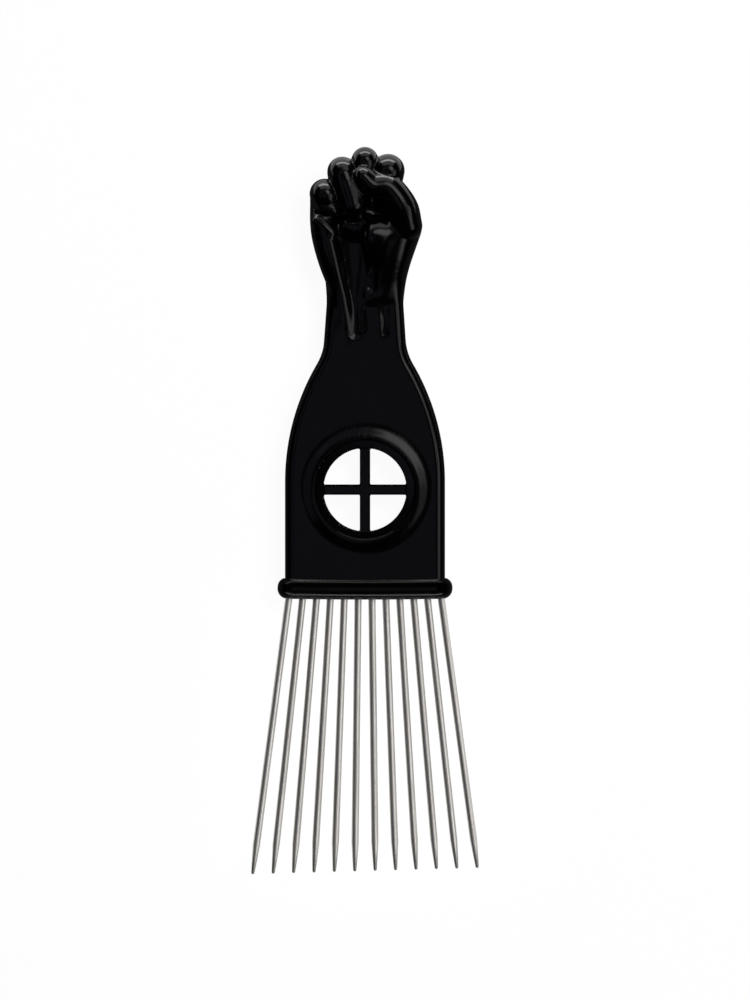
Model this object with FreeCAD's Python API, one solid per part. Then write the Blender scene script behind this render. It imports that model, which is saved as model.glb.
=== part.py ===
"""Hair pick with a fist-shaped handle: a moulded handle, a collar and twelve steel tines.

The pick lies on its back. X runs across the row of tines, +Y points at the fist and Z is up,
out of the palm side. The origin is on the surface that the pick lies on, at the middle of its length.
Lengths are in millimetres.
"""

import FreeCAD, Part
import math
import os

from FreeCAD import Placement, Rotation, Vector

# Whole object
HANDLE_LENGTH = 108.6
TINE_REACH = 66.4
CUT_OVERRUN = 2.0

# Paddle, the flat part of the handle
PADDLE_WIDTH = 38.5
PADDLE_THICKNESS = 6.4
PADDLE_EDGE_RADIUS = 2.3
SHOULDER_RADIUS = 56.0
NECK_RADIUS = 13.5
WRIST_WIDTH = 18.3
WRIST_LENGTH = 10.0
WRIST_TAPER_DEGREES = 3.7

# Window with its raised ring and cross
WINDOW_HEIGHT = 26.2
WINDOW_DIAMETER = 20.0
RING_LIP_WIDTH = 1.9
RING_LIP_RISE = 0.5
RING_CREST_WIDTH = 0.6
RING_CREST_RISE = 1.0
RING_FLANK_WIDTH = 2.4
CROSS_BAR_WIDTH = 2.5
CROSS_BAR_THICKNESS = 4.8

# Collar, the band round the foot of the handle
COLLAR_PROJECTION = 1.8
COLLAR_HEIGHT = 5.2
COLLAR_EDGE_RADIUS = 2.35
COLLAR_POCKET_DEPTH = 2.2
POCKET_CLEARANCE = 0.05

# Tines
TINE_COUNT = 12
TINE_DIAMETER = 1.8
TINE_SIDE_MARGIN = 0.4
TIP_SPREAD = 55.0
TIP_DIAMETER = 0.8
TIP_TAPER_LENGTH = 7.0
TIP_LINE_DROP = 1.5
ANCHOR_COVER = 2.0
ANCHOR_GROOVE_COUNT = 2
ANCHOR_GROOVE_WIDTH = 0.9
ANCHOR_GROOVE_DEPTH = 0.25
ANCHOR_GROOVE_SPACING = 2.4

# Fist
FIST_WIDTH = 27.3
FIST_HEIGHT = 36.3
FIST_THICKNESS = 15.0
BACK_FLAT_DEPTH = 0.5

# The next bone of a chain starts a little thinner, so that the two balls never coincide.
JOINT_STEP_SHARE = 0.97

# Fingers from the little one to the index: places across and up the fist, heights and radii.
# Across and radius are shares of the fist's width, up of its height, and lift of its thickness.
# A knuckle's up share is where its top stands. The other ends give their centre.
FINGER_SHARES = {
    "little": {
        "knuckle": {"across_share": -0.330, "top_share": 0.760, "radius_share": 0.140},
        "fold": {"across_share": -0.362, "top_share": 0.787, "lift_share": 0.60, "radius_share": 0.136},
        "tip": {"across_share": -0.317, "up_share": 0.557, "lift_share": 0.63, "radius_share": 0.124},
    },
    "ring": {
        "knuckle": {"across_share": -0.170, "top_share": 0.890, "radius_share": 0.150},
        "fold": {"across_share": -0.198, "top_share": 0.928, "lift_share": 0.63, "radius_share": 0.131},
        "tip": {"across_share": -0.141, "up_share": 0.610, "lift_share": 0.67, "radius_share": 0.121},
    },
    "middle": {
        "knuckle": {"across_share": 0.005, "top_share": 0.935, "radius_share": 0.152},
        "fold": {"across_share": -0.003, "top_share": 1.000, "lift_share": 0.63, "radius_share": 0.125},
        "tip": {"across_share": 0.004, "up_share": 0.640, "lift_share": 0.64, "radius_share": 0.119},
    },
    "index": {
        "knuckle": {"across_share": 0.180, "top_share": 0.900, "radius_share": 0.150},
        "fold": {"across_share": 0.203, "top_share": 0.952, "lift_share": 0.62, "radius_share": 0.147},
        "tip": {"across_share": 0.168, "up_share": 0.617, "lift_share": 0.62, "radius_share": 0.126},
    },
}
# Where a finger's bone leaves the wrist, as a share of its knuckle's place across.
CARPAL_ACROSS_SHARE = 0.55
CARPAL_UP_SHARE = 0.02
CARPAL_LIFT_SHARE = 0.33
CARPAL_RADIUS_SHARE = 0.125

# Thumb, its ball and the heel of the palm. Same shares, all of them centres.
THUMB_SHARES = {
    "root": {"across_share": 0.212, "up_share": 0.053, "lift_share": 0.400, "radius_share": 0.106},
    "knuckle": {"across_share": 0.371, "up_share": 0.477, "lift_share": 0.600, "radius_share": 0.129},
    "swell": {"across_share": 0.325, "up_share": 0.600, "lift_share": 0.680, "radius_share": 0.134},
    "fold": {"across_share": 0.248, "up_share": 0.715, "lift_share": 0.745, "radius_share": 0.122},
    "tip": {"across_share": 0.060, "up_share": 0.748, "radius_share": 0.116},
}
BALL_SHARES = {
    "high": {"across_share": 0.190, "up_share": 0.360, "lift_share": 0.500, "radius_share": 0.190},
    "low": {"across_share": 0.150, "up_share": 0.150, "lift_share": 0.410, "radius_share": 0.135},
}
HEEL_SHARES = {
    "edge": {"across_share": -0.360, "up_share": 0.610, "lift_share": 0.500, "radius_share": 0.138},
    "high": {"across_share": -0.356, "up_share": 0.477, "lift_share": 0.460, "radius_share": 0.144},
    "low": {"across_share": -0.206, "up_share": 0.010, "lift_share": 0.360, "radius_share": 0.122},
}
PALM_SHARES = {
    "high": {"across_share": -0.060, "up_share": 0.480, "lift_share": 0.410, "radius_share": 0.190},
    "low": {"across_share": -0.030, "up_share": 0.090, "lift_share": 0.370, "radius_share": 0.140},
}
# Sinews that rise out of the paddle into the wrist: places across, and radii at the paddle and the wrist.
# Across and radius are shares of the wrist's width. Along the length they are shares of the wrist's length.
SINEW_SHARES = [
    {"across_share": -0.270, "paddle_radius_share": 0.150, "wrist_radius_share": 0.215},
    {"across_share": 0.100, "paddle_radius_share": 0.150, "wrist_radius_share": 0.225},
    {"across_share": 0.350, "paddle_radius_share": 0.110, "wrist_radius_share": 0.140},
]
SINEW_START_SHARE = -1.35
SINEW_END_SHARE = 0.55

# Places that follow from the sizes
MID_PLANE = COLLAR_PROJECTION + PADDLE_THICKNESS / 2
OVERALL_LENGTH = HANDLE_LENGTH + TINE_REACH
COLLAR_UNDERSIDE = OVERALL_LENGTH / 2 - HANDLE_LENGTH
FOOT = COLLAR_UNDERSIDE + COLLAR_HEIGHT - COLLAR_POCKET_DEPTH
FIST_TOP = COLLAR_UNDERSIDE + HANDLE_LENGTH
WRIST = FIST_TOP - FIST_HEIGHT
WINDOW_CENTRE = Vector(0, COLLAR_UNDERSIDE + WINDOW_HEIGHT, MID_PLANE)
TINE_ANCHOR = WINDOW_CENTRE.y - WINDOW_DIAMETER / 2 - ANCHOR_COVER - FOOT
UP = Vector(0, 0, 1)


def capsule(start, start_radius, end, end_radius):
    """A bone: a ball at each end and the cone that touches both."""
    axis = end - start
    length = axis.Length
    lean = math.asin((start_radius - end_radius) / length)

    def on_ball(centre, radius, angle):
        return Vector(centre + radius * math.cos(angle), radius * math.sin(angle), 0)

    touch = math.pi / 2 - lean
    back = on_ball(0, start_radius, math.pi)
    front = on_ball(length, end_radius, 0)
    first_touch = on_ball(0, start_radius, touch)
    second_touch = on_ball(length, end_radius, touch)
    profile = Part.Wire(
        [
            Part.Arc(back, on_ball(0, start_radius, (math.pi + touch) / 2), first_touch).toShape(),
            Part.LineSegment(first_touch, second_touch).toShape(),
            Part.Arc(second_touch, on_ball(length, end_radius, touch / 2), front).toShape(),
            Part.LineSegment(front, back).toShape(),
        ]
    )
    bone = Part.Face(profile).revolve(Vector(0, 0, 0), Vector(1, 0, 0), 360)
    bone.Placement = Placement(start, Rotation(Vector(1, 0, 0), axis))
    return bone


def fist_point(place):
    """Centre and radius of one end of a bone, from its shares of the fist."""
    radius = place["radius_share"] * FIST_WIDTH
    up = place["top_share"] * FIST_HEIGHT - radius if "top_share" in place else place["up_share"] * FIST_HEIGHT
    return Vector(place["across_share"] * FIST_WIDTH, WRIST + up, place["lift_share"] * FIST_THICKNESS), radius


def resting_on_back(place):
    """The same, for a ball that stands in the surface that the pick lies on, before it is cut flat."""
    lift = (place["radius_share"] * FIST_WIDTH - BACK_FLAT_DEPTH) / FIST_THICKNESS
    return fist_point({**place, "lift_share": lift})


def touching_front(place):
    """The same, for a ball whose top is the front of the fist."""
    lift = 1 - place["radius_share"] * FIST_WIDTH / FIST_THICKNESS
    return fist_point({**place, "lift_share": lift})


def chain(ends):
    """Bones through a row of balls, each bone starting a little thinner than the last one ended."""
    bones = []
    for number, ((start, start_radius), (end, end_radius)) in enumerate(zip(ends, ends[1:])):
        step = JOINT_STEP_SHARE if number else 1
        bones.append(capsule(start, start_radius * step, end, end_radius))
    return bones


def finger_bones(places):
    """One finger: from the wrist to the knuckle, over the fold and down to the fingertip."""
    carpal = {
        "across_share": places["knuckle"]["across_share"] * CARPAL_ACROSS_SHARE,
        "up_share": CARPAL_UP_SHARE,
        "lift_share": CARPAL_LIFT_SHARE,
        "radius_share": CARPAL_RADIUS_SHARE,
    }
    return chain(
        [
            fist_point(carpal),
            resting_on_back(places["knuckle"]),
            fist_point(places["fold"]),
            fist_point(places["tip"]),
        ]
    )


def thumb_bones():
    """The thumb, from the wrist up the side of the fist and across the fingers."""
    places = [fist_point(THUMB_SHARES[name]) for name in ("root", "knuckle", "swell", "fold")]
    return chain(places + [touching_front(THUMB_SHARES["tip"])])


def palm_bones():
    """The ball of the thumb, the heel of the hand and the hollow between them."""
    bones = []
    for shares in (BALL_SHARES, HEEL_SHARES, PALM_SHARES):
        bones += chain([fist_point(place) for place in shares.values()])
    return bones


def sinew_bones():
    """Sinews that run up out of the paddle and into the wrist."""
    bones = []
    for sinew in SINEW_SHARES:
        across = sinew["across_share"] * WRIST_WIDTH
        start = Vector(across, WRIST + SINEW_START_SHARE * WRIST_LENGTH, MID_PLANE)
        end = Vector(across, WRIST + SINEW_END_SHARE * WRIST_LENGTH, MID_PLANE)
        start_radius = sinew["paddle_radius_share"] * WRIST_WIDTH
        end_radius = sinew["wrist_radius_share"] * WRIST_WIDTH
        bones.append(capsule(start, start_radius, end, end_radius))
    return bones


def paddle_outline():
    """Closed outline of the paddle in its mid-plane: straight sides, round shoulders and a waisted neck."""
    taper = math.radians(WRIST_TAPER_DEGREES)
    half_width = PADDLE_WIDTH / 2
    half_wrist = WRIST_WIDTH / 2
    top = WRIST + CARPAL_UP_SHARE * FIST_HEIGHT + WRIST_LENGTH / 2
    neck = Vector(half_wrist + WRIST_LENGTH * math.sin(taper), WRIST - WRIST_LENGTH * math.cos(taper), 0)
    neck_centre = neck + NECK_RADIUS * Vector(math.cos(taper), math.sin(taper), 0)
    reach = NECK_RADIUS + SHOULDER_RADIUS
    shoulder_x = half_width - SHOULDER_RADIUS
    shoulder_y = neck_centre.y - math.sqrt(reach**2 - (neck_centre.x - shoulder_x) ** 2)
    shoulder_centre = Vector(shoulder_x, shoulder_y, 0)
    between = (neck_centre - shoulder_centre).normalize()
    meeting = shoulder_centre + SHOULDER_RADIUS * between
    shoulder_angle = math.atan2(between.y, between.x)
    neck_angle = shoulder_angle + math.pi
    neck_end = math.pi + taper

    def on_arc(centre, radius, angle):
        return centre + radius * Vector(math.cos(angle), math.sin(angle), 0)

    right = [
        ("line", [Vector(half_width, FOOT, 0), Vector(half_width, shoulder_y, 0)]),
        (
            "arc",
            [
                Vector(half_width, shoulder_y, 0),
                on_arc(shoulder_centre, SHOULDER_RADIUS, shoulder_angle / 2),
                meeting,
            ],
        ),
        ("arc", [meeting, on_arc(neck_centre, NECK_RADIUS, (neck_angle + neck_end) / 2), neck]),
        ("line", [neck, Vector(half_wrist, WRIST, 0)]),
        ("line", [Vector(half_wrist, WRIST, 0), Vector(half_wrist, top, 0)]),
    ]

    def edge(kind, points):
        return (Part.LineSegment if kind == "line" else Part.Arc)(*points).toShape()

    def mirrored(point):
        return Vector(-point.x, point.y, point.z)

    left = [(kind, [mirrored(p) for p in reversed(points)]) for kind, points in reversed(right)]
    across_top = ("line", [right[-1][1][-1], left[0][1][0]])
    across_foot = ("line", [left[-1][1][-1], right[0][1][0]])
    return Part.Wire([edge(*piece) for piece in right + [across_top] + left + [across_foot]])


def paddle():
    """The flat slab of the handle, with its long edges rounded over."""
    slab = Part.Face(paddle_outline()).extrude(UP * PADDLE_THICKNESS)
    slab.translate(UP * (MID_PLANE - PADDLE_THICKNESS / 2))
    ends = {FOOT, slab.BoundBox.YMax}

    def is_long(edge):
        box = edge.BoundBox
        return box.ZLength < Part.Precision.confusion() and not any(
            abs(box.YMin - end) < Part.Precision.confusion() and box.YLength < Part.Precision.confusion()
            for end in ends
        )

    return slab.makeFillet(PADDLE_EDGE_RADIUS, [edge for edge in slab.Edges if is_long(edge)])


def window_ring():
    """Turned ring that stands proud of both faces of the paddle round the window."""
    face = PADDLE_THICKNESS / 2
    hole = WINDOW_DIAMETER / 2
    step = hole + RING_LIP_WIDTH
    crest = step + RING_CREST_WIDTH
    outside = crest + RING_FLANK_WIDTH
    front = [
        Vector(outside, 0, face),
        Vector(crest, 0, face + RING_CREST_RISE),
        Vector(step, 0, face + RING_CREST_RISE),
        Vector(step, 0, face + RING_LIP_RISE),
        Vector(hole, 0, face + RING_LIP_RISE),
    ]
    back = [Vector(point.x, 0, -point.z) for point in reversed(front)]
    profile = Part.makePolygon(front + back + front[:1])
    ring = Part.Face(profile).revolve(Vector(0, 0, 0), UP, 360)
    ring.translate(WINDOW_CENTRE)
    return ring


def window_hole():
    """The bore of the window, through ring and paddle."""
    height = PADDLE_THICKNESS + 2 * (RING_CREST_RISE + CUT_OVERRUN)
    return Part.makeCylinder(WINDOW_DIAMETER / 2, height, WINDOW_CENTRE - UP * height / 2)


def window_cross():
    """The two bars that cross the window, let into the ring's lip at both ends."""
    length = WINDOW_DIAMETER + RING_LIP_WIDTH
    corner = Vector(-length / 2, -CROSS_BAR_WIDTH / 2, -CROSS_BAR_THICKNESS / 2)
    level = Part.makeBox(length, CROSS_BAR_WIDTH, CROSS_BAR_THICKNESS, corner)
    upright = level.copy()
    upright.rotate(Vector(0, 0, 0), UP, 90)
    cross = level.fuse(upright)
    cross.translate(WINDOW_CENTRE)
    return cross


def tine_line(number):
    """Where tine number 0 to 11 leaves the collar, and its tip."""
    place = number / (TINE_COUNT - 1)
    root_span = PADDLE_WIDTH - 2 * TINE_SIDE_MARGIN - TINE_DIAMETER
    tip_span = TIP_SPREAD - TIP_DIAMETER
    root = Vector((place - 0.5) * root_span, FOOT, MID_PLANE)
    tip_y = COLLAR_UNDERSIDE - TINE_REACH + place * TIP_LINE_DROP
    return root, Vector((place - 0.5) * tip_span, tip_y, MID_PLANE)


def tine(number):
    """One drawn steel tine: a grooved anchor in the handle, a straight shank and a tapered, blunt tip."""
    root, tip = tine_line(number)
    out = (tip - root).normalize()
    top = root - out * TINE_ANCHOR
    length = (tip - top).Length
    radius = TINE_DIAMETER / 2
    groove_radius = radius - ANCHOR_GROOVE_DEPTH
    points = [(0, 0), (0, radius)]
    for groove in range(ANCHOR_GROOVE_COUNT):
        start = ANCHOR_GROOVE_SPACING * (groove + 0.5)
        points += [
            (start, radius),
            (start + ANCHOR_GROOVE_DEPTH, groove_radius),
            (start + ANCHOR_GROOVE_WIDTH, groove_radius),
            (start + ANCHOR_GROOVE_WIDTH, radius),
        ]
    shoulder = length - TIP_TAPER_LENGTH
    tip_radius = TIP_DIAMETER / 2
    points += [(shoulder, radius), (length - tip_radius, tip_radius)]
    edges = [
        Part.LineSegment(Vector(*start, 0), Vector(*end, 0)).toShape() for start, end in zip(points, points[1:])
    ]
    blunt_start = Vector(*points[-1], 0)
    blunt_end = Vector(length, 0, 0)
    quarter = tip_radius * math.sqrt(0.5)
    blunt_middle = Vector(length - tip_radius + quarter, quarter, 0)
    edges.append(Part.Arc(blunt_start, blunt_middle, blunt_end).toShape())
    edges.append(Part.LineSegment(blunt_end, Vector(0, 0, 0)).toShape())
    rod = Part.Face(Part.Wire(edges)).revolve(Vector(0, 0, 0), Vector(1, 0, 0), 360)
    rod.Placement = Placement(top, Rotation(Vector(1, 0, 0), out))
    return rod


def collar(tines):
    """The round-edged band that caps the foot of the handle, bored for the tines."""
    width = PADDLE_WIDTH + 2 * COLLAR_PROJECTION
    thickness = PADDLE_THICKNESS + 2 * COLLAR_PROJECTION
    corner = Vector(-width / 2, COLLAR_UNDERSIDE, MID_PLANE - thickness / 2)
    band = Part.makeBox(width, COLLAR_HEIGHT, thickness, corner)
    upright = [e for e in band.Edges if e.BoundBox.YLength > COLLAR_HEIGHT / 2]
    band = band.makeFillet(PADDLE_EDGE_RADIUS + COLLAR_PROJECTION, upright)
    rims = [e for e in band.Edges if e.BoundBox.YLength < COLLAR_HEIGHT / 2]
    band = band.makeFillet(COLLAR_EDGE_RADIUS, rims)
    pocket = paddle_section(POCKET_CLEARANCE)
    for rod in tines:
        pocket = pocket.fuse(rod)
    return band.cut(pocket)


def paddle_section(clearance):
    """The foot of the paddle, grown by a clearance all round, as the tool that cuts the collar's pocket."""
    width = PADDLE_WIDTH + 2 * clearance
    thickness = PADDLE_THICKNESS + 2 * clearance
    corner = Vector(-width / 2, FOOT, MID_PLANE - thickness / 2)
    block = Part.makeBox(width, COLLAR_POCKET_DEPTH + CUT_OVERRUN, thickness, corner)
    upright = [e for e in block.Edges if e.BoundBox.YLength > COLLAR_POCKET_DEPTH]
    return block.makeFillet(PADDLE_EDGE_RADIUS + clearance, upright)


def handle(tines):
    """The moulded handle: paddle, window and fist in one piece, socketed for the tines."""
    bones = [bone for places in FINGER_SHARES.values() for bone in finger_bones(places)]
    bones += thumb_bones() + palm_bones() + sinew_bones()
    body = paddle().multiFuse([window_ring()] + bones)
    size = OVERALL_LENGTH
    below = Part.makeBox(size, size, size, Vector(-size / 2, -size / 2, -size))
    body = body.cut(below)
    body = body.cut(window_hole())
    body = body.fuse(window_cross())
    for rod in tines:
        body = body.cut(rod)
    return body.removeSplitter()


def main():
    os.makedirs("parts", exist_ok=True)
    tines = [tine(number) for number in range(TINE_COUNT)]
    nodes = {f"tine_{number + 1:02d}": rod for number, rod in enumerate(tines)}
    nodes["collar"] = collar(tines)
    nodes["handle"] = handle(tines)
    for name, shape in nodes.items():
        shape.exportStep(f"parts/{name}.step")
        print(name, len(shape.Solids), "solid,", round(shape.Volume, 2), "mm3, valid", shape.isValid())


main()
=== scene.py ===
import math

import bpy
import numpy as np
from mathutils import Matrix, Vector


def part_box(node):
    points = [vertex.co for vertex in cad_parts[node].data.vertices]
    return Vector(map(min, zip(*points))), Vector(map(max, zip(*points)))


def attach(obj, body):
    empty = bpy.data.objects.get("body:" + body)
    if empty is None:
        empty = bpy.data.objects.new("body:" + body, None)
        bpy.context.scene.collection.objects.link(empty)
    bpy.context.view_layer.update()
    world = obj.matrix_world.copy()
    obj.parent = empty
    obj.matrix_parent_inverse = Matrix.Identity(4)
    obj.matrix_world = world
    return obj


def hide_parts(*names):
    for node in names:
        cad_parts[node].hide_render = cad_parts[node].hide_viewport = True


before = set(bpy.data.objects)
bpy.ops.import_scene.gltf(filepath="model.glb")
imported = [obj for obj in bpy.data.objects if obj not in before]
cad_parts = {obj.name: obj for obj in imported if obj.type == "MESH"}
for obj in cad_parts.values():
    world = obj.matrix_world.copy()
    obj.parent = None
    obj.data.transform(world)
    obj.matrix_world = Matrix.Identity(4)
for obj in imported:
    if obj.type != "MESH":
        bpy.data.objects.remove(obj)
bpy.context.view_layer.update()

# Handle. One black gloss moulding: a flat paddle with a round window, a wrist and a clenched right fist.
# It is worked as a field of distances in millimetres, as a wax master is built up from balls, rolls and
# scooped hollows, and then skinned. The tines are pressed into its foot and the collar is bonded round it.
MM = 0.001

handle_low, handle_high = (np.array(corner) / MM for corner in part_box("handle"))
collar_low, collar_high = (np.array(corner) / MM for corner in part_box("collar"))

FOOT = handle_low[1]
HALF_WIDTH = handle_high[0]
FIST_TOP = handle_high[1]
FIST_THICKNESS = handle_high[2]
MID_PLANE = (collar_low[2] + collar_high[2]) / 2

PADDLE_HALF_THICKNESS = 3.2
PADDLE_EDGE_RADIUS = 2.3
SHOULDER_RADIUS = 56.0
NECK_RADIUS = 13.5
HALF_WRIST = 9.15
WRIST_LENGTH = 10.0
WRIST_TAPER = math.radians(3.7)
FIST_WIDTH = 27.3
FIST_HEIGHT = 36.3
WRIST = FIST_TOP - FIST_HEIGHT
PALM_FLOOR = MID_PLANE + PADDLE_HALF_THICKNESS
PALM_FLOOR_LENGTH = 16.5


def smooth_union(first, second, blend):
    near = np.maximum(blend - np.abs(first - second), 0) / blend
    return np.minimum(first, second) - near**2 * blend / 4


def smooth_cut(solid, tool, blend):
    return -smooth_union(-solid, tool, blend)


def smooth_common(first, second, blend):
    return -smooth_union(-first, -second, blend)


def rounded(side, face, radius):
    """Two crossing walls joined by a round edge."""
    side = side + radius
    face = face + radius
    outside = np.hypot(np.maximum(side, 0), np.maximum(face, 0))
    return np.minimum(np.maximum(side, face), 0) + outside - radius


def paddle_outline(points):
    """Distance to the paddle's outline in its plane: straight sides, round shoulders and a waisted neck."""
    x = np.abs(points[:, 0])
    y = points[:, 1]
    up_wrist = np.array([-math.sin(WRIST_TAPER), math.cos(WRIST_TAPER)])
    out_wrist = np.array([math.cos(WRIST_TAPER), math.sin(WRIST_TAPER)])
    neck = np.array([HALF_WRIST, WRIST]) - WRIST_LENGTH * up_wrist
    neck_centre = neck + NECK_RADIUS * out_wrist
    shoulder_x = HALF_WIDTH - SHOULDER_RADIUS
    reach = NECK_RADIUS + SHOULDER_RADIUS
    shoulder_y = neck_centre[1] - math.sqrt(reach**2 - (neck_centre[0] - shoulder_x) ** 2)
    meeting_angle = math.atan2(neck_centre[1] - shoulder_y, neck_centre[0] - shoulder_x)
    shoulder = np.hypot(x - shoulder_x, y - shoulder_y) - SHOULDER_RADIUS
    waist = NECK_RADIUS - np.hypot(x - neck_centre[0], y - neck_centre[1])
    wrist = (x - HALF_WRIST) * out_wrist[0] + (y - WRIST) * out_wrist[1]
    past_neck = (x - neck[0]) * up_wrist[0] + (y - neck[1]) * up_wrist[1] > 0
    past_meeting = np.arctan2(y - shoulder_y, x - shoulder_x) > meeting_angle
    field = np.where(past_meeting, waist, shoulder)
    field = np.where(y < shoulder_y, x - HALF_WIDTH, field)
    field = np.where(past_neck, wrist, field)
    return np.where(y > WRIST, x - HALF_WRIST, field)


def paddle(points):
    """The flat slab, whose upper end is the floor of the palm."""
    face = np.abs(points[:, 2] - MID_PLANE) - PADDLE_HALF_THICKNESS
    slab = rounded(paddle_outline(points), face, PADDLE_EDGE_RADIUS)
    return np.maximum(slab, points[:, 1] - WRIST - PALM_FLOOR_LENGTH)


WINDOW_ABOVE_COLLAR = 26.2
WINDOW_Y = collar_low[1] + WINDOW_ABOVE_COLLAR
WINDOW_RADIUS = 10.0
RING_STEP_RADIUS = 11.75
RING_CREST_RADIUS = 12.8
RING_RADIUS = 15.2
RING_RISE = 0.75
STEP_LEAN = 0.6
LIP_DROP = 0.1
LIP_LEAN = 0.12
CROSS_HALF_WIDTH = 1.25
CROSS_HALF_THICKNESS = 2.4
SMALL_ROUND = 0.35


def windowed(points, field):
    """The field with the sloped ring, its stepped lip, the hole and the cross, alike on both faces."""
    radial = np.hypot(points[:, 0], points[:, 1] - WINDOW_Y)
    height = np.abs(points[:, 2] - MID_PLANE)
    face = height - PADDLE_HALF_THICKNESS
    flank = math.atan2(RING_RISE, RING_RADIUS - RING_CREST_RADIUS)
    slope = (radial - RING_RADIUS) * math.sin(flank) + face * math.cos(flank)
    ring = smooth_common(slope, face - RING_RISE, SMALL_ROUND)
    field = smooth_union(field, ring, SMALL_ROUND)
    lip = LIP_DROP + LIP_LEAN * (RING_STEP_RADIUS - radial)
    wall = (radial - RING_STEP_RADIUS - STEP_LEAN * (face + lip)) / math.hypot(1, STEP_LEAN)
    field = np.maximum(field, -np.maximum(wall, -face - lip))
    field = smooth_cut(field, radial - WINDOW_RADIUS, SMALL_ROUND)
    across = np.minimum(np.abs(points[:, 0]), np.abs(points[:, 1] - WINDOW_Y))
    bars = rounded(across - CROSS_HALF_WIDTH, height - CROSS_HALF_THICKNESS, SMALL_ROUND)
    bars = np.maximum(bars, radial - WINDOW_RADIUS - CROSS_HALF_WIDTH)
    return smooth_union(field, bars, SMALL_ROUND)


BACK_FLAT_DEPTH = 0.5


def fist_ball(across, up, lift, radius):
    """A ball of the fist: across and radius are shares of its width, up is one of its height and lift is
    one of its thickness."""
    centre = np.array([across * FIST_WIDTH, WRIST + up * FIST_HEIGHT, lift * FIST_THICKNESS])
    return centre, radius * FIST_WIDTH


def topped(across, top, lift, radius):
    """The same, placed by the height of its top."""
    return fist_ball(across, top - radius * FIST_WIDTH / FIST_HEIGHT, lift, radius)


def on_back(across, top, radius):
    """The same, sunk a little in the surface that the pick lies on."""
    return topped(across, top, (radius * FIST_WIDTH - BACK_FLAT_DEPTH) / FIST_THICKNESS, radius)


def scoop(across, up, depth, width, above_floor=0.0):
    """A ball sunk by its depth in a surface over the palm's floor, which it cuts to the given width."""
    radius = (width**2 / 4 + depth**2) / (2 * depth)
    surface = PALM_FLOOR + above_floor
    return np.array([across * FIST_WIDTH, WRIST + up * FIST_HEIGHT, surface + radius - depth]), radius


# Each finger runs from the wrist to its knuckle on the back, over the fold and down to the fingertip.
FINGERS = [
    [
        fist_ball(-0.182, 0.02, 0.33, 0.125),
        on_back(-0.330, 0.760, 0.140),
        topped(-0.355, 0.787, 0.60, 0.132),
        fist_ball(-0.322, 0.620, 0.57, 0.116),
    ],
    [
        fist_ball(-0.094, 0.02, 0.33, 0.125),
        on_back(-0.170, 0.890, 0.150),
        topped(-0.198, 0.925, 0.63, 0.129),
        fist_ball(-0.112, 0.612, 0.65, 0.117),
    ],
    [
        fist_ball(0.003, 0.02, 0.33, 0.125),
        on_back(0.005, 0.935, 0.152),
        topped(0.000, 0.991, 0.63, 0.113),
        fist_ball(0.020, 0.660, 0.42, 0.115),
    ],
    [
        fist_ball(0.099, 0.02, 0.33, 0.125),
        on_back(0.180, 0.900, 0.150),
        topped(0.203, 0.945, 0.62, 0.145),
        fist_ball(0.168, 0.640, 0.42, 0.122),
    ],
]
RING_FINGER_SIDE = [
    topped(-0.170, 0.905, 0.600, 0.117),
    fist_ball(-0.098, 0.740, 0.605, 0.125),
    fist_ball(-0.078, 0.622, 0.615, 0.108),
]
LITTLE_PAD = [
    fist_ball(-0.374, 0.604, 0.715, 0.044),
    fist_ball(-0.282, 0.574, 0.725, 0.053),
]
THUMB = [
    fist_ball(0.371, 0.477, 0.600, 0.127),
    fist_ball(0.325, 0.600, 0.680, 0.132),
    fist_ball(0.204, 0.722, 0.745, 0.115),
    fist_ball(0.075, 0.732, 0.790, 0.104),
    fist_ball(-0.012, 0.792, 0.845, 0.080),
]
THUMB_EDGE = [
    *THUMB[:2],
    fist_ball(0.204, 0.734, 0.720, 0.115),
    fist_ball(0.075, 0.757, 0.740, 0.104),
    fist_ball(-0.020, 0.816, 0.815, 0.074),
]
BALL_OF_THUMB = [
    fist_ball(0.170, 0.400, 0.640, 0.198),
    fist_ball(0.190, 0.200, 0.500, 0.150),
    fist_ball(0.150, 0.030, 0.400, 0.110),
]
THUMB_DOME = fist_ball(0.010, 0.407, -0.560, 0.762)
THUMB_DOME_FALL_UP = 2.0
THUMB_DOME_FALL_DOWN = 1.5
THUMB_BASE = [
    fist_ball(0.170, 0.053, 0.300, 0.160),
    fist_ball(0.228, 0.239, 0.400, 0.170),
    fist_ball(0.342, 0.460, 0.460, 0.158),
]
HEEL = [
    fist_ball(-0.372, 0.640, 0.420, 0.112),
    fist_ball(-0.362, 0.500, 0.460, 0.122),
    fist_ball(-0.338, 0.385, 0.487, 0.125),
    fist_ball(-0.292, 0.239, 0.473, 0.116),
    fist_ball(-0.238, 0.086, 0.447, 0.096),
    fist_ball(-0.209, -0.027, 0.400, 0.106),
    fist_ball(-0.195, -0.170, 0.315, 0.136),
    fist_ball(-0.190, -0.300, 0.235, 0.160),
]
HEEL_RIDGE = [
    fist_ball(-0.325, 0.400, 0.632, 0.045),
    fist_ball(-0.280, 0.239, 0.610, 0.045),
    fist_ball(-0.232, 0.086, 0.548, 0.045),
    fist_ball(-0.200, -0.027, 0.508, 0.045),
    fist_ball(-0.176, -0.170, 0.460, 0.045),
]
HEEL_ROLL = [
    fist_ball(-0.418, 0.505, 0.605, 0.055),
    fist_ball(-0.296, 0.428, 0.635, 0.050),
]
PALM_ROLL = [
    fist_ball(-0.165, 0.482, 0.500, 0.060),
    fist_ball(-0.090, 0.450, 0.500, 0.060),
    fist_ball(-0.010, 0.482, 0.500, 0.060),
]
PALM_BED = [
    fist_ball(-0.060, 0.280, 0.205, 0.180),
    fist_ball(-0.060, 0.460, 0.300, 0.180),
]
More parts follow.
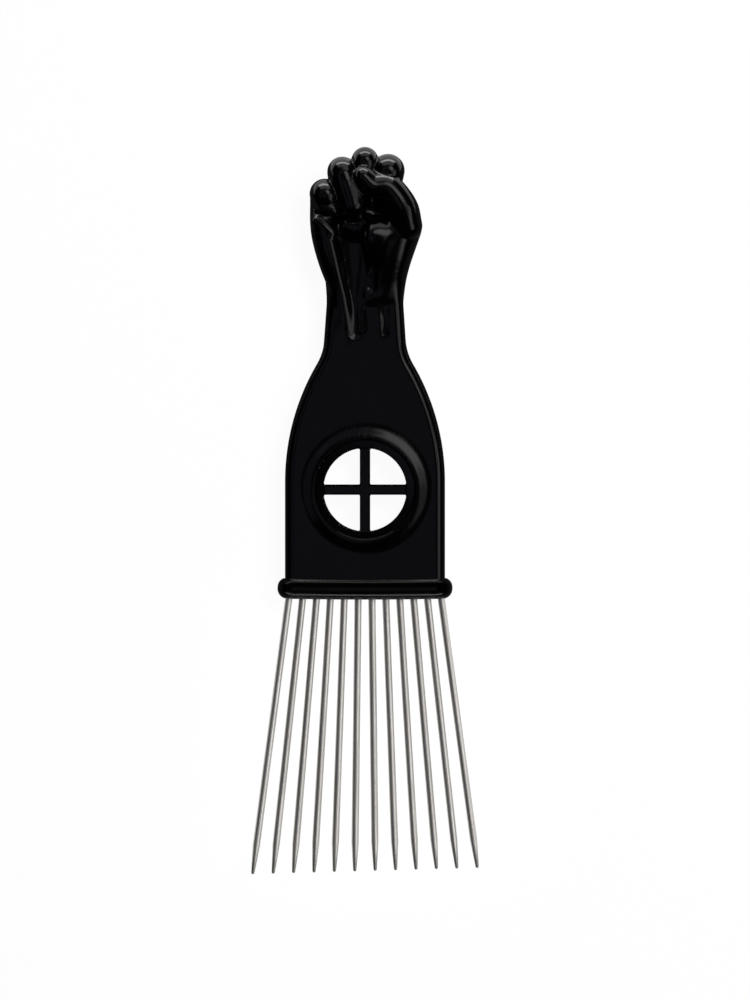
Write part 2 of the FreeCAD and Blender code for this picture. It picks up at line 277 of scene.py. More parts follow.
PALM_VALLEY = [
    scoop(-0.110, 0.330, 0.30, 5.5),
    scoop(-0.104, 0.170, 0.50, 6.0),
    scoop(-0.100, 0.040, 0.48, 4.6),
    scoop(-0.094, -0.090, 0.50, 3.2),
    scoop(-0.082, -0.230, 0.45, 2.8),
]
WRIST_SINEW = [
    fist_ball(-0.030, -0.020, 0.420, 0.062),
    fist_ball(-0.030, -0.215, 0.440, 0.062),
]
WRIST_HOLLOW = [
    scoop(0.172, -0.060, 0.05, 1.0),
    scoop(0.174, -0.140, 0.24, 1.3),
    scoop(0.177, -0.230, 0.10, 1.1),
]
THUMB_CREASE = [
    scoop(0.050, 0.220, 0.10, 1.2, 1.2),
    scoop(0.050, 0.090, 0.40, 2.2, 0.5),
    scoop(0.050, 0.060, 0.10, 1.2, 0.4),
]


def bone(points, start, end):
    """Distance to a ball at each end and the cone that touches both."""
    (start_point, start_radius), (end_point, end_radius) = start, end
    axis = end_point - start_point
    length = np.linalg.norm(axis)
    lean = (start_radius - end_radius) / length
    arm = points - start_point
    along = arm @ (axis / length)
    aside = np.sqrt(np.maximum((arm**2).sum(1) - along**2, 0))
    centre = np.clip(along - aside * lean / math.sqrt(1 - lean**2), 0, length)
    return np.hypot(along - centre, aside) - (start_radius - centre * lean)


ROW_STEPS = 6
ROW_PULL = 0.5


def smooth_row(balls):
    """The balls, with more between them on a smooth line."""
    rows = np.array([[*centre, radius] for centre, radius in balls])
    if len(rows) > 2:
        ends = np.vstack([2 * rows[0] - rows[1], rows, 2 * rows[-1] - rows[-2]])
        slopes = ROW_PULL * (ends[2:] - ends[:-2])
        share = np.linspace(0, 1, ROW_STEPS, endpoint=False)[:, None]
        spans = []
        for row, next_row, slope, next_slope in zip(rows, rows[1:], slopes, slopes[1:]):
            spans.append(
                row * (1 + 2 * share) * (1 - share) ** 2
                + slope * share * (1 - share) ** 2
                + next_row * share**2 * (3 - 2 * share)
                + next_slope * share**2 * (share - 1)
            )
        rows = np.vstack([*spans, rows[-1:]])
    return [(row[:3], row[3]) for row in rows]


LIMB_REACH = 3.0


def limb(points, balls):
    """Distance to a smooth row of balls. Far from it, the distance to the box round it is near enough."""
    row = smooth_row(balls)
    low = np.min([centre - radius for centre, radius in row], axis=0)
    high = np.max([centre + radius for centre, radius in row], axis=0)
    field = np.linalg.norm(np.maximum(np.maximum(low - points, points - high), 0), axis=1)
    near = field < LIMB_REACH
    local = points[near]
    nearest = np.full(len(local), np.inf)
    for start, end in zip(row, row[1:]):
        nearest = np.minimum(nearest, bone(local, start, end))
    field[near] = nearest
    return field


def thumb_dome(points):
    """Distance to a ball drawn in along the hand, more towards the fingers than towards the wrist."""
    centre, radius = THUMB_DOME
    arm = points - centre
    arm[:, 1] *= np.where(arm[:, 1] > 0, THUMB_DOME_FALL_UP, THUMB_DOME_FALL_DOWN)
    return (np.linalg.norm(arm, axis=1) - radius) / THUMB_DOME_FALL_UP


# How softly each form of the hand runs into what it grows from.
ROOT_BLEND = 1.6
BED_BLEND = 1.5
VALLEY_BLEND = 0.5
RIDGE_BLEND = 1.0
HEEL_BLEND_PLACES = (WRIST - 4.0, WRIST + 3.0)
HEEL_BLENDS = (0.8, 0.02)
DOME_BLEND = 1.6
MOUND_BLEND = 1.2
THUMB_BASE_BLEND = 1.6
HEEL_ROLL_BLEND = 0.7
PALM_ROLL_BLEND = 2.0
SINEW_BLEND = 0.5
FINGER_BLEND = 0.4
FINGER_SIDE_BLEND = 0.8
THUMB_EDGE_BLEND = 0.8
HOLLOW_BLEND = 0.5


def fist(points, body):
    """The hand, grown out of the wrist."""
    for balls in FINGERS:
        body = smooth_union(body, limb(points, balls[:2]), ROOT_BLEND)
    body = smooth_union(body, limb(points, PALM_BED), BED_BLEND)
    body = smooth_cut(body, limb(points, PALM_VALLEY), VALLEY_BLEND)
    heel = smooth_union(limb(points, HEEL), limb(points, HEEL_RIDGE), RIDGE_BLEND)
    body = smooth_union(body, heel, np.interp(points[:, 1], HEEL_BLEND_PLACES, HEEL_BLENDS))
    mound = smooth_common(limb(points, BALL_OF_THUMB), thumb_dome(points), DOME_BLEND)
    body = smooth_union(body, mound, MOUND_BLEND)
    body = smooth_union(body, limb(points, THUMB_BASE), THUMB_BASE_BLEND)
    body = smooth_union(body, limb(points, HEEL_ROLL), HEEL_ROLL_BLEND)
    body = smooth_union(body, limb(points, PALM_ROLL), PALM_ROLL_BLEND)
    body = smooth_union(body, limb(points, WRIST_SINEW), SINEW_BLEND)
    fingers = limb(points, LITTLE_PAD)
    for balls in FINGERS:
        fingers = smooth_union(fingers, limb(points, balls[1:]), FINGER_BLEND)
    fingers = smooth_union(fingers, limb(points, RING_FINGER_SIDE), FINGER_SIDE_BLEND)
    body = smooth_union(body, fingers, FINGER_BLEND)
    thumb = smooth_union(limb(points, THUMB), limb(points, THUMB_EDGE), THUMB_EDGE_BLEND)
    body = smooth_union(body, thumb, FINGER_BLEND)
    for balls in (WRIST_HOLLOW, THUMB_CREASE):
        body = smooth_cut(body, limb(points, balls), HOLLOW_BLEND)
    return body


TINE_COUNT = 12
TINE_RADIUS = 0.9
TIP_RADIUS = 0.4
TIP_ROOM = 0.03
ANCHOR_COVER = 2.0
ANCHOR_LENGTH = WINDOW_Y - WINDOW_RADIUS - ANCHOR_COVER - FOOT


def tine_line(number):
    """Where a tine enters the foot of the handle, and its tip, from the box of its solid."""
    low, high = (np.array(corner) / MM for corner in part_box(f"tine_{number + 1:02d}"))
    side = np.sign(number - (TINE_COUNT - 1) / 2)
    outer, inner = (high[0], low[0]) if side > 0 else (low[0], high[0])
    tip = np.array([outer - side * TIP_RADIUS, low[1] + TIP_ROOM, MID_PLANE])
    top = np.array([inner + side * TINE_RADIUS, high[1], MID_PLANE])
    lean = (tip - top) / np.linalg.norm(tip - top)
    return tip - lean * (tip[1] - FOOT) / lean[1], tip


def socketed(points, field):
    """The field with a round socket for each tine bored into it."""
    for number in range(TINE_COUNT):
        root, tip = tine_line(number)
        into = (root - tip) / np.linalg.norm(root - tip)
        arm = points - root
        along = arm @ into
        aside = np.sqrt(np.maximum((arm**2).sum(1) - along**2, 0))
        field = np.maximum(field, -np.maximum(aside - TINE_RADIUS, along - ANCHOR_LENGTH))
    return field


HAND_START = WRIST - 15.0
BACK_BLEND = 0.3


def handle_field(points):
    body = paddle(points)
    by_window = np.hypot(points[:, 0], points[:, 1] - WINDOW_Y) < RING_RADIUS + LIMB_REACH
    body[by_window] = windowed(points[by_window], body[by_window])
    by_hand = points[:, 1] > HAND_START
    body[by_hand] = fist(points[by_hand], body[by_hand])
    body = np.maximum(smooth_cut(body, points[:, 2], BACK_BLEND), FOOT - points[:, 1])
    by_foot = points[:, 1] < FOOT + ANCHOR_LENGTH + LIMB_REACH
    body[by_foot] = socketed(points[by_foot], body[by_foot])
    return body


def gradient(field, points, reach):
    columns = []
    for direction in np.eye(3):
        columns.append(field(points + direction * reach) - field(points - direction * reach))
    return np.stack(columns, -1) / (2 * reach)


BLOCK = 4
NEAR_BLOCKS = 1.3
BATCH = 400_000


def field_on_grid(field, axes):
    """The field on a grid, worked out at each point near the surface and once for each block elsewhere."""
    step = axes[0][1] - axes[0][0]
    coarse = [axis[BLOCK // 2 :: BLOCK] for axis in axes]
    values = field(np.stack(np.meshgrid(*coarse, indexing="ij"), -1).reshape(-1, 3))
    values = values.reshape([len(axis) for axis in coarse])
    for direction in range(3):
        values = np.repeat(values, BLOCK, direction)
    index = np.argwhere(np.abs(values) < BLOCK * step * NEAR_BLOCKS)
    points = np.stack([axes[direction][index[:, direction]] for direction in range(3)], -1)
    for part in np.array_split(np.arange(len(points)), max(1, len(points) // BATCH)):
        values[tuple(index[part].T)] = field(points[part])
    return values


CELL_CORNERS = [(i, j, k) for i in (0, 1) for j in (0, 1) for k in (0, 1)]


def at_corner(grid, corner):
    """The grid's values at one corner of each of its cells."""
    return grid[tuple(slice(start, start + count - 1) for start, count in zip(corner, grid.shape))]


def crossed_cells(values):
    """The cells that the surface crosses, and the middle of its crossings of each one's edges."""
    inside = values < 0
    count = sum(at_corner(inside, corner).astype(np.int8) for corner in CELL_CORNERS)
    crossed = (count > 0) & (count < len(CELL_CORNERS))
    middle = np.zeros((crossed.sum(), 3))
    hits = np.zeros(crossed.sum())
    for corner in CELL_CORNERS:
        for direction in range(3):
            if corner[direction]:
                continue
            other = tuple(start + (axis == direction) for axis, start in enumerate(corner))
            first = at_corner(values, corner)[crossed]
            second = at_corner(values, other)[crossed]
            crosses = (first < 0) != (second < 0)
            offset = np.tile(np.array(corner, float), (crosses.sum(), 1))
            offset[:, direction] += first[crosses] / (first[crosses] - second[crosses])
            middle[crosses] += offset
            hits[crosses] += 1
    return crossed, np.argwhere(crossed) + middle / hits[:, None]


def faces_between(values, crossed):
    """A face round each grid edge that the surface crosses, with a corner in each of the cells there."""
    inside = values < 0
    number = np.full(crossed.shape, -1)
    number[crossed] = np.arange(crossed.sum())
    faces = []
    for direction in range(3):
        ahead = [slice(1, -1)] * 3
        ahead[direction] = slice(0, -1)
        beyond = list(ahead)
        beyond[direction] = slice(1, None)
        starts_inside = inside[tuple(ahead)]
        crossing = np.argwhere(starts_inside != inside[tuple(beyond)])
        goes_out = starts_inside[tuple(crossing.T)]
        crossing[:, [axis for axis in range(3) if axis != direction]] += 1
        u, v = [(direction + turn) % 3 for turn in (1, 2)]
        around = []
        for back_u, back_v in ((1, 1), (0, 1), (0, 0), (1, 0)):
            cell = crossing.copy()
            cell[:, u] -= back_u
            cell[:, v] -= back_v
            around.append(number[tuple(cell.T)])
        face = np.stack(around, -1)
        face[~goes_out] = face[~goes_out][:, ::-1]
        faces.append(face)
    return np.concatenate(faces)


MARGIN_CELLS = 3
SETTLING_ROUNDS = 4
SETTLING_REACH = 1 / 8
SHADING_REACH = 1 / 4
LEAST_SLOPE = 0.2
CRISP_TURN = 0.9


def skin(name, field, low, high, step, crisp_place=None):
    """A closed mesh on the field's zero level, with one corner in each grid cell that the surface crosses.
    It shades softly, but a face that turns a corner in a crisp place is shaded like its flatter side."""
    axes = []
    for start, end in zip(low, high):
        count = BLOCK * math.ceil((end - start + 2 * MARGIN_CELLS * step) / step / BLOCK)
        axes.append(start - MARGIN_CELLS * step + step * np.arange(count))
    values = field_on_grid(field, axes)
    crossed, middle = crossed_cells(values)
    faces = faces_between(values, crossed)
    points = np.array([axis[0] for axis in axes]) + step * middle
    for _ in range(SETTLING_ROUNDS):
        slope = gradient(field, points, step * SETTLING_REACH)
        move = -(field(points) / np.maximum((slope**2).sum(1), LEAST_SLOPE))[:, None] * slope
        points += np.clip(move, -step / 2, step / 2)
    normals = gradient(field, points, step * SHADING_REACH)
    normals /= np.linalg.norm(normals, axis=1)[:, None]
    shading = normals[faces]
    if crisp_place:
        turns = (shading * np.roll(shading, 1, axis=1)).sum(2).min(1) < CRISP_TURN
        turns &= crisp_place(points[faces].mean(1))
        flattest = np.abs(shading[turns, :, 2]).argmax(1)
        shading[turns] = shading[turns, flattest][:, None]
    mesh = bpy.data.meshes.new(name)
    mesh.from_pydata(points * MM, [], faces.tolist())
    mesh.update()
    mesh.shade_smooth()
    mesh.normals_split_custom_set(shading.reshape(-1, 3))
    piece = bpy.data.objects.new(name, mesh)
    bpy.context.scene.collection.objects.link(piece)
    return piece


GRAIN = 0.335
HEEL_CREASE = (0.05, 0.42)


def crisp_on_handle(points):
    """The window's step and edges, and the crease along the heel of the hand."""
    in_ring = np.hypot(points[:, 0], points[:, 1] - WINDOW_Y) < RING_CREST_RADIUS + GRAIN
    up = (points[:, 1] - WRIST) / FIST_HEIGHT
    by_crease = (up > HEEL_CREASE[0]) & (up < HEEL_CREASE[1])
    return in_ring | (by_crease & (points[:, 0] < 0) & (points[:, 2] > MID_PLANE))


handle = skin("handle_moulding", handle_field, handle_low, handle_high, GRAIN, crisp_on_handle)


def place(tree, kind, values=None, **settings):
    """A node with its settings, and with values or links on its inputs."""
    node = tree.nodes.new(kind)
    for name, setting in settings.items():
        setattr(node, name, setting)
    for key, value in (values or {}).items():
        if isinstance(value, bpy.types.NodeSocket):
            tree.links.new(value, node.inputs[key])
        else:
            node.inputs[key].default_value = value
    return node


def sums(tree, operation, *values):
    """A sum worked on numbers or on other nodes' outputs."""
    return place(tree, "ShaderNodeMath", dict(enumerate(values)), operation=operation).outputs[0]


def spread(tree, value, low, high, new_low=0.0, new_high=1.0):
    """A value eased from one range to another."""
    limits = {"Value": value, "From Min": low, "From Max": high, "To Min": new_low, "To Max": new_high}
    return place(tree, "ShaderNodeMapRange", limits, interpolation_type="SMOOTHSTEP").outputs["Result"]


def noise(tree, where, scale, detail):
    values = {"Vector": where, "Scale": scale, "Detail": detail}
    return place(tree, "ShaderNodeTexNoise", values).outputs["Fac"]


def mixed(tree, share, first, second):
    """A colour between two others."""
    return place(tree, "ShaderNodeMix", {0: share, 6: first, 7: second}, data_type="RGBA").outputs[2]


def effect(name, inputs, outputs):
    """An empty shader group with named sockets, and its two ends."""
    tree = bpy.data.node_groups.new(name, "ShaderNodeTree")
    tree.interface.new_socket("Place", in_out="INPUT", socket_type="NodeSocketVector")
    for socket, value in inputs.items():
        made = tree.interface.new_socket(socket, in_out="INPUT", socket_type="NodeSocketFloat")
        made.default_value = value
    for socket in outputs:
        tree.interface.new_socket(socket, in_out="OUTPUT", socket_type="NodeSocketFloat")
    return tree, tree.nodes.new("NodeGroupInput").outputs, tree.nodes.new("NodeGroupOutput").inputs


# Hairlines and finger smudges from use, on plastic and on steel alike.
HAIRLINE_LAYERS = {0.5: 1.3, -0.9: 4.7}
HAIRLINE_TILT = (0.2, 0.1)
HAIRLINE_STRETCH = (1.0, 0.03, 1.0)
HAIRLINE_WIDTH = 0.012
HAIRLINE_DETAIL = 1.0
HAIRLINE_PATCHES = (0.48, 0.68)
SMUDGE_PATCHES = (0.35, 0.7)
PATCH_DETAIL = 3.0

handling, given, result = effect(
    "handling_marks", {"Hairlines": 900.0, "Smudges": 90.0}, ["Hairline", "Smudge"]
)
lines = []
for turn, seed in HAIRLINE_LAYERS.items():
    turned = {
        "Vector": given["Place"],
        "Rotation": (*HAIRLINE_TILT, turn),
        "Scale": HAIRLINE_STRETCH,
        "Location": (seed, seed, 0),
    }
    streak_place = place(handling, "ShaderNodeMapping", turned).outputs[0]
    streak = noise(handling, streak_place, given["Hairlines"], HAIRLINE_DETAIL)
    off_middle = sums(handling, "ABSOLUTE", sums(handling, "SUBTRACT", streak, 0.5))
    lines.append(spread(handling, off_middle, 0.0, HAIRLINE_WIDTH, 1.0, 0.0))
patches = noise(handling, given["Place"], given["Smudges"], PATCH_DETAIL)
here = spread(handling, patches, *HAIRLINE_PATCHES)
hairline = sums(handling, "MULTIPLY", sums(handling, "MAXIMUM", *lines), here)
handling.links.new(hairline, result["Hairline"])
handling.links.new(spread(handling, patches, *SMUDGE_PATCHES), result["Smudge"])

# The faint ripple and the specks of dust that a gloss moulding shows.
SPECK_RADIUS = (0.04, 0.10)
BARE_SHARE = 0.93
RIPPLE_DETAIL = 1.5

moulded, given, result = effect("moulded_gloss", {"Ripple": 260.0, "Specks": 1500.0}, ["Ripple", "Speck"])
moulded.links.new(noise(moulded, given["Place"], given["Ripple"], RIPPLE_DETAIL), result["Ripple"])
speck = place(moulded, "ShaderNodeTexVoronoi", {"Vector": given["Place"], "Scale": given["Specks"]})
dot = spread(moulded, speck.outputs["Distance"], *SPECK_RADIUS, 1.0, 0.0)
chosen = place(moulded, "ShaderNodeSeparateColor", {"Color": speck.outputs["Color"]})
rare = sums(moulded, "GREATER_THAN", chosen.outputs[0], BARE_SHARE)
moulded.links.new(sums(moulded, "MULTIPLY", dot, rare), result["Speck"])

PLASTIC_BLACK = (0.0018, 0.0016, 0.002, 1)
DUST_GREY = (0.02, 0.019, 0.018, 1)
SMUDGE_DULLING = 0.05
HAIRLINE_DULLING = 0.12
SEAM_EDGES = (0.02 * MM, 0.12 * MM)
SEAM_RELIEF = 0.4
PLASTIC_HAIRLINE_RELIEF = -0.1
PLASTIC_RELIEF_DEPTH = 0.06 * MM
PLASTIC_RELIEF_STRENGTH = 0.5


def black_gloss(name, roughness, ripple_size, seam):
    """Black gloss plastic with a mould seam along the given height."""
    material = bpy.data.materials.new(name)
    material.use_nodes = True
    tree = material.node_tree
    shader = tree.nodes["Principled BSDF"]
    where = place(tree, "ShaderNodeTexCoord").outputs["Object"]
    marks = place(tree, "ShaderNodeGroup", {"Place": where}, node_tree=handling)
    gloss = place(tree, "ShaderNodeGroup", {"Place": where, "Ripple": ripple_size}, node_tree=moulded)
    dusty = mixed(tree, gloss.outputs["Speck"], PLASTIC_BLACK, DUST_GREY)
    tree.links.new(dusty, shader.inputs["Base Color"])
    worn = sums(tree, "MULTIPLY_ADD", marks.outputs["Smudge"], SMUDGE_DULLING, roughness)
    worn = sums(tree, "MULTIPLY_ADD", marks.outputs["Hairline"], HAIRLINE_DULLING, worn)
    tree.links.new(worn, shader.inputs["Roughness"])
    height = place(tree, "ShaderNodeSeparateXYZ", {0: where}).outputs["Z"]
    off_seam = sums(tree, "ABSOLUTE", sums(tree, "SUBTRACT", height, seam * MM))
    line = spread(tree, off_seam, *SEAM_EDGES, 1.0, 0.0)
    relief = sums(tree, "MULTIPLY_ADD", line, SEAM_RELIEF, gloss.outputs["Ripple"])
    relief = sums(tree, "MULTIPLY_ADD", marks.outputs["Hairline"], PLASTIC_HAIRLINE_RELIEF, relief)
    rise = {"Height": relief, "Strength": PLASTIC_RELIEF_STRENGTH, "Distance": PLASTIC_RELIEF_DEPTH}
    bump = place(tree, "ShaderNodeBump", rise)
    tree.links.new(bump.outputs["Normal"], shader.inputs["Normal"])
    return material


HANDLE_ROUGHNESS = 0.14
HANDLE_RIPPLE = 260.0
handle_plastic = black_gloss("handle_gloss_plastic", HANDLE_ROUGHNESS, HANDLE_RIPPLE, MID_PLANE)
handle.data.materials.append(handle_plastic)
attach(handle, "root")
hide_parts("handle")

# Tines. Twelve straight steel wires, drawn, cut and ground to a blunt point, fanned by up to eight degrees.
# Each has a grooved anchor pressed into its socket in the handle, and passes through a bore in the collar.
TIP_TAPER = 7.0
TIP_FLAT = 0.02
GROOVE_DEPTH = 0.25
GROOVE_WIDTH = 0.9
GROOVE_SPACING = 2.4
GROOVE_COUNT = 2
WIRE_SIDES = 20
RINGS = {"anchor": 46, "shank": 8, "point": 26}

fan = bpy.data.node_groups.new("fan_of_tines", "GeometryNodeTree")
first_root, first_tip = tine_line(0)
last_root, last_tip = tine_line(TINE_COUNT - 1)
fan_sizes = {
    "Count": TINE_COUNT,
    "First Root": first_root * MM,
    "Last Root": last_root * MM,
    "First Tip": first_tip * MM,
    "Last Tip": last_tip * MM,
    "Wire Radius": TINE_RADIUS * MM,
    "Tip Radius": TIP_RADIUS * MM,
    "Taper": TIP_TAPER * MM,
    "Anchor": ANCHOR_LENGTH * MM,
    "Groove Depth": GROOVE_DEPTH * MM,
    "Groove Width": GROOVE_WIDTH * MM,
    "Groove Spacing": GROOVE_SPACING * MM,
}
for name, value in fan_sizes.items():
    kind = "NodeSocketVector" if np.ndim(value) else "NodeSocketFloat"
    fan.interface.new_socket(name, in_out="INPUT", socket_type="NodeSocketInt" if name == "Count" else kind)
fan.interface.new_socket("Material", in_out="INPUT", socket_type="NodeSocketMaterial")
fan.interface.new_socket("Geometry", in_out="OUTPUT", socket_type="NodeSocketGeometry")
size = fan.nodes.new("NodeGroupInput").outputs

ring_count = sum(RINGS.values())
blank = place(fan, "GeometryNodeCurvePrimitiveLine")
blank = place(fan, "GeometryNodeResampleCurve", {"Curve": blank.outputs[0], "Count": ring_count})
copying = {"Geometry": blank.outputs[0], "Amount": size["Count"]}
copies = place(fan, "GeometryNodeDuplicateElements", copying, domain="SPLINE")
share = sums(fan, "DIVIDE", copies.outputs["Duplicate Index"], sums(fan, "SUBTRACT", size["Count"], 1))


def vectors(operation, *values):
    node = place(fan, "ShaderNodeVectorMath", dict(enumerate(values)), operation=operation)
    return node.outputs["Value" if operation == "LENGTH" else "Vector"]


def fanned(first, last):
    """A place between that of the first tine and that of the last."""
    values = {"Factor": share, 4: size[first], 5: size[last]}
    return place(fan, "ShaderNodeMix", values, data_type="VECTOR").outputs[1]


root = fanned("First Root", "Last Root")
tip = fanned("First Tip", "Last Tip")
free = vectors("SUBTRACT", tip, root)
way = vectors("NORMALIZE", free)
length = sums(fan, "ADD", vectors("LENGTH", free), size["Anchor"])

ring = place(fan, "GeometryNodeSplineParameter").outputs["Index"]


def stretch(first_ring, last_ring, reach, slowing=False):
    """The part of a length that the rings from one to another have covered."""
    values = {"Value": ring, "From Min": first_ring, "From Max": last_ring, "To Min": 0.0, "To Max": 1.0}
    covered = place(fan, "ShaderNodeMapRange", values).outputs["Result"]
    if slowing:
        left = sums(fan, "SUBTRACT", 1.0, covered)
        covered = sums(fan, "SUBTRACT", 1.0, sums(fan, "MULTIPLY", left, left))
    return sums(fan, "MULTIPLY", covered, reach)


shank_start = RINGS["anchor"] - 1
point_start = shank_start + RINGS["shank"]
shank = sums(fan, "SUBTRACT", sums(fan, "SUBTRACT", length, size["Anchor"]), size["Taper"])
along = sums(fan, "ADD", stretch(0, shank_start, size["Anchor"]), stretch(shank_start, point_start, shank))
along = sums(fan, "ADD", along, stretch(point_start, ring_count - 1, size["Taper"], slowing=True))
to_tip = sums(fan, "MAXIMUM", sums(fan, "SUBTRACT", length, along), TIP_FLAT * MM)

cone_sizes = {
    "Value": to_tip,
    "From Min": size["Tip Radius"],
    "From Max": size["Taper"],
    "To Min": size["Tip Radius"],
    "To Max": size["Wire Radius"],
}
cone = place(fan, "ShaderNodeMapRange", cone_sizes).outputs["Result"]
twice = sums(fan, "MULTIPLY", size["Tip Radius"], 2.0)
ball_square = sums(fan, "MULTIPLY", to_tip, sums(fan, "SUBTRACT", twice, to_tip))
tip_ball = sums(fan, "SQRT", sums(fan, "MAXIMUM", ball_square, 0.0))
past_ball = sums(fan, "GREATER_THAN", to_tip, size["Tip Radius"])
blunt = sums(fan, "ADD", tip_ball, past_ball)
from_groove = sums(fan, "SUBTRACT", along, sums(fan, "MULTIPLY", size["Groove Spacing"], 0.5))
in_groove = sums(fan, "FLOORED_MODULO", from_groove, size["Groove Spacing"])
sunk = sums(fan, "MINIMUM", in_groove, size["Groove Depth"])
sunk = sums(fan, "MULTIPLY", sunk, sums(fan, "LESS_THAN", in_groove, size["Groove Width"]))
sunk = sums(fan, "MULTIPLY", sunk, sums(fan, "GREATER_THAN", from_groove, 0.0))
last_groove = sums(fan, "MULTIPLY", size["Groove Spacing"], float(GROOVE_COUNT))
sunk = sums(fan, "MULTIPLY", sunk, sums(fan, "LESS_THAN", from_groove, last_groove))
radius = sums(fan, "SUBTRACT", sums(fan, "MINIMUM", cone, blunt), sunk)

past_root = sums(fan, "SUBTRACT", along, size["Anchor"])
way_past_root = {0: way, "Scale": past_root}
offset = place(fan, "ShaderNodeVectorMath", way_past_root, operation="SCALE").outputs["Vector"]
fanned_out = {"Geometry": copies.outputs[0], "Position": vectors("ADD", root, offset)}
wires = place(fan, "GeometryNodeSetPosition", fanned_out).outputs[0]


def kept(geometry, name, value, kind="FLOAT"):
    """The geometry with a value kept on it for the material."""
    values = {"Geometry": geometry, "Name": name, "Value": value}
    return place(fan, "GeometryNodeStoreNamedAttribute", values, data_type=kind).outputs[0]


wires = kept(wires, "from_tip", to_tip)
wires = kept(wires, "wire_number", share)
rim = place(fan, "GeometryNodeCurvePrimitiveCircle", {"Resolution": WIRE_SIDES, "Radius": 1.0}).outputs[0]
rim = kept(rim, "rim", place(fan, "GeometryNodeInputPosition").outputs[0], "FLOAT_VECTOR")
sweep = {"Curve": wires, "Profile Curve": rim, "Scale": radius, "Fill Caps": True}
rods = place(fan, "GeometryNodeCurveToMesh", sweep)
rods = place(fan, "GeometryNodeSetShadeSmooth", {"Geometry": rods.outputs[0]})
rods = place(fan, "GeometryNodeRealizeInstances", {"Geometry": rods.outputs[0]})
rods = place(fan, "GeometryNodeSetMaterial", {"Geometry": rods.outputs[0], "Material": size["Material"]})
fan.links.new(rods.outputs[0], fan.nodes.new("NodeGroupOutput").inputs[0])

STEEL_DARK = (0.44, 0.425, 0.40, 1)
STEEL_LIGHT = (0.66, 0.645, 0.62, 1)
STEEL_GROUND = (0.16, 0.15, 0.14, 1)
STEEL_ROUGHNESS = 0.22
DRAWN_DULLING = 0.12
GROUND_DULLING = 0.10
DRAWN_TONES = (0.35, 0.65)
DRAWN_ALONG = 12.0
DRAWN_SCALE = 5.0
DRAWN_DETAIL = 4.0
WIRE_APART = 37.0
GROUND_LENGTH = (0.6 * MM, 6.5 * MM)
GROUND_SHARE = 0.75
GRINDING_ALONG = 4000.0
GRINDING_SCALE = 1.2
GRINDING_DETAIL = 2.0
GRINDING_RELIEF = 0.6
STEEL_HAIRLINE_RELIEF = -0.2
STEEL_RELIEF_DEPTH = 0.04 * MM
STEEL_RELIEF_STRENGTH = 0.4
STEEL_MARKS = {"Smudges": 60.0, "Hairlines": 1400.0}

steel = bpy.data.materials.new("drawn_steel")
steel.use_nodes = True
tree = steel.node_tree
shader = tree.nodes["Principled BSDF"]
shader.inputs["Metallic"].default_value = 1.0


def attribute(name, output):
    return place(tree, "ShaderNodeAttribute", attribute_name=name).outputs[output]


from_tip = attribute("from_tip", "Fac")
across = place(tree, "ShaderNodeSeparateXYZ", {0: attribute("rim", "Vector")}).outputs


def on_wire(along):
    """A place on the wire's rim, at a place along the wire."""
    return place(tree, "ShaderNodeCombineXYZ", {0: across[0], 1: across[1], 2: along}).outputs[0]


drawing = sums(tree, "MULTIPLY", from_tip, DRAWN_ALONG)
drawing = sums(tree, "MULTIPLY_ADD", attribute("wire_number", "Fac"), WIRE_APART, drawing)
drawn = noise(tree, on_wire(drawing), DRAWN_SCALE, DRAWN_DETAIL)
grinding_place = on_wire(sums(tree, "MULTIPLY", from_tip, GRINDING_ALONG))
grinding = noise(tree, grinding_place, GRINDING_SCALE, GRINDING_DETAIL)
ground = spread(tree, from_tip, *GROUND_LENGTH, 1.0, 0.0)
marks = place(tree, "ShaderNodeGroup", STEEL_MARKS, node_tree=handling)
tree.links.new(place(tree, "ShaderNodeTexCoord").outputs["Object"], marks.inputs["Place"])
bright = mixed(tree, spread(tree, drawn, *DRAWN_TONES), STEEL_DARK, STEEL_LIGHT)
tint = mixed(tree, sums(tree, "MULTIPLY", ground, GROUND_SHARE), bright, STEEL_GROUND)
tree.links.new(tint, shader.inputs["Base Color"])
rough = sums(tree, "MULTIPLY_ADD", drawn, DRAWN_DULLING, STEEL_ROUGHNESS)
rough = sums(tree, "MULTIPLY_ADD", marks.outputs["Smudge"], SMUDGE_DULLING, rough)
rough = sums(tree, "MULTIPLY_ADD", ground, GROUND_DULLING, rough)
tree.links.new(rough, shader.inputs["Roughness"])
relief = sums(tree, "MULTIPLY_ADD", sums(tree, "MULTIPLY", grinding, ground), GRINDING_RELIEF, drawn)
relief = sums(tree, "MULTIPLY_ADD", marks.outputs["Hairline"], STEEL_HAIRLINE_RELIEF, relief)
rise = {"Height": relief, "Strength": STEEL_RELIEF_STRENGTH, "Distance": STEEL_RELIEF_DEPTH}
bump = place(tree, "ShaderNodeBump", rise)
tree.links.new(bump.outputs["Normal"], shader.inputs["Normal"])

tines = bpy.data.objects.new("tines", bpy.data.meshes.new("tines"))
bpy.context.scene.collection.objects.link(tines)
fanning = tines.modifiers.new("fan", "NODES")
fanning.node_group = fan
for item in fan.interface.items_tree:
    if item.in_out == "INPUT":
        value = steel if item.name == "Material" else fan_sizes[item.name]
        fanning[item.identifier] = value.tolist() if isinstance(value, np.ndarray) else value
settled = bpy.context.evaluated_depsgraph_get()
tines_mesh = bpy.data.meshes.new_from_object(
    tines.evaluated_get(settled), preserve_all_data_layers=True, depsgraph=settled
)
tines.modifiers.clear()
tines.data = tines_mesh
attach(tines, "root")
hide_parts(*(f"tine_{number + 1:02d}" for number in range(TINE_COUNT)))

